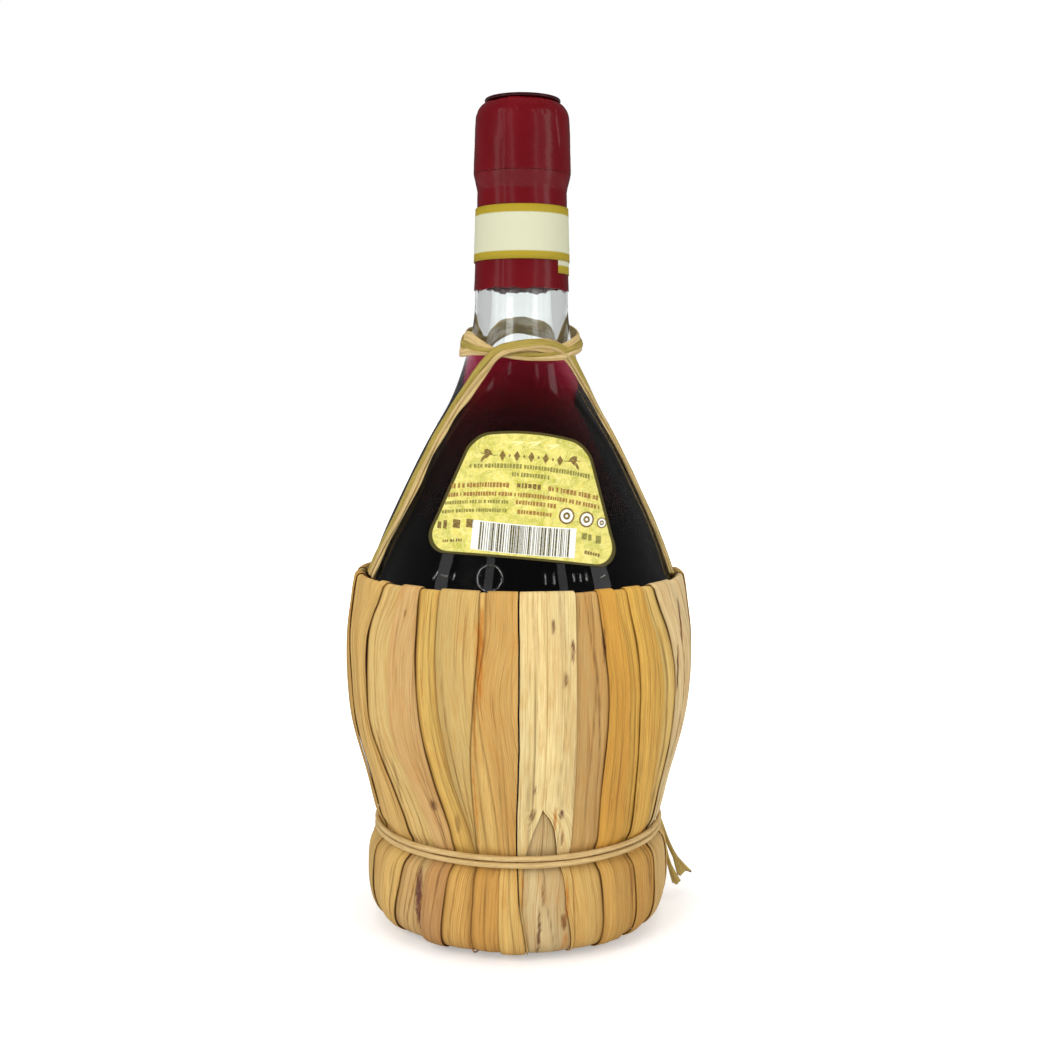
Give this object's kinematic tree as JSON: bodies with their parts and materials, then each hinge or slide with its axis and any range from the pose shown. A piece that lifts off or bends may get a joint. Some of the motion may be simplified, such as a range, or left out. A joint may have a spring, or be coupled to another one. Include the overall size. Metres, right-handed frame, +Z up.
{
  "type": "straw-covered wine flask",
  "caption": "Round-bottomed glass wine flask in a cover of dried leaf strips tied at the waist, with a leaf cord round the neck, a cork and a shrunk capsule.",
  "frame": {"origin": "on the floor plane, at the flask's axis, in the middle of the base disc's underside", "axes": "+Z up along the flask's axis; the printed label and the front of the picture face -Y; +X is to the right"},
  "size_m": [0.111, 0.109, 0.2548],
  "materials": {
    "glass": "clear, gloss",
    "wine": "dark red wine, clear in thin layers",
    "cork": "natural cork, pitted",
    "capsule": "dark red shrunk film, gloss, with a crumpled shoulder",
    "capsule_top": "darker red disc, satin",
    "band_paper": "pale cream-green paper with olive-gold edge lines",
    "label_paper": "yellow-green printed paper with a dark olive border",
    "husk": "dried leaf strips, tan to golden, with lengthwise fibres and brown stains",
    "leaf_cord": "twisted dried leaf, tan to olive yellow",
    "string": "thin twisted leaf string, tan",
    "straw_core": "packed straw, dull tan"
  },
  "bodies": {
    "flask": {"glass_flask": "glass", "wine": "wine", "capsule_skirt": "capsule", "neck_band": "band_paper", "back_label": "label_paper", "rim_cord": "leaf_cord", "foot_ring": "straw_core", "base_disc": "straw_core", "waist_tie": "string", "tie_knot": "string", "neck_cord": "leaf_cord", "husk_strip_01": "husk", "husk_strip_02": "husk", "husk_strip_03": "husk", "husk_strip_04": "husk", "husk_strip_05": "husk", "husk_strip_06": "husk", "husk_strip_07": "husk", "husk_strip_08": "husk", "husk_strip_09": "husk", "husk_strip_10": "husk", "husk_strip_11": "husk", "husk_strip_12": "husk", "husk_strip_13": "husk", "husk_strip_14": "husk", "husk_strip_15": "husk", "husk_strip_16": "husk", "husk_strip_17": "husk", "husk_strip_18": "husk", "husk_strip_19": "husk", "husk_strip_20": "husk", "husk_strip_21": "husk", "husk_strip_22": "husk", "husk_strip_23": "husk", "husk_strip_24": "husk", "husk_strip_25": "husk", "husk_strip_26": "husk", "husk_strip_27": "husk", "husk_strip_28": "husk", "husk_strip_29": "husk", "husk_strip_30": "husk", "husk_strip_31": "husk", "husk_strip_32": "husk", "husk_strip_33": "husk", "husk_strip_34": "husk", "husk_strip_35": "husk", "husk_strip_behind": "husk"},
    "cork": {"cork": "cork"},
    "cap": {"capsule_cap": "capsule", "capsule_disc": "capsule_top"}
  },
  "joints": [
    {"name": "cap_lift", "type": "slide", "parent": "flask", "child": "cap", "axis": [0, 0, 1], "range_m": [0, 0.12]},
    {"name": "cork_draw", "type": "slide", "parent": "flask", "child": "cork", "axis": [0, 0, 1], "range_m": [0, 0.048]}
  ],
  "couplings": [
    {"joint": "cork_draw", "follows": "cap_lift", "ratio": 0.4}
  ]
}
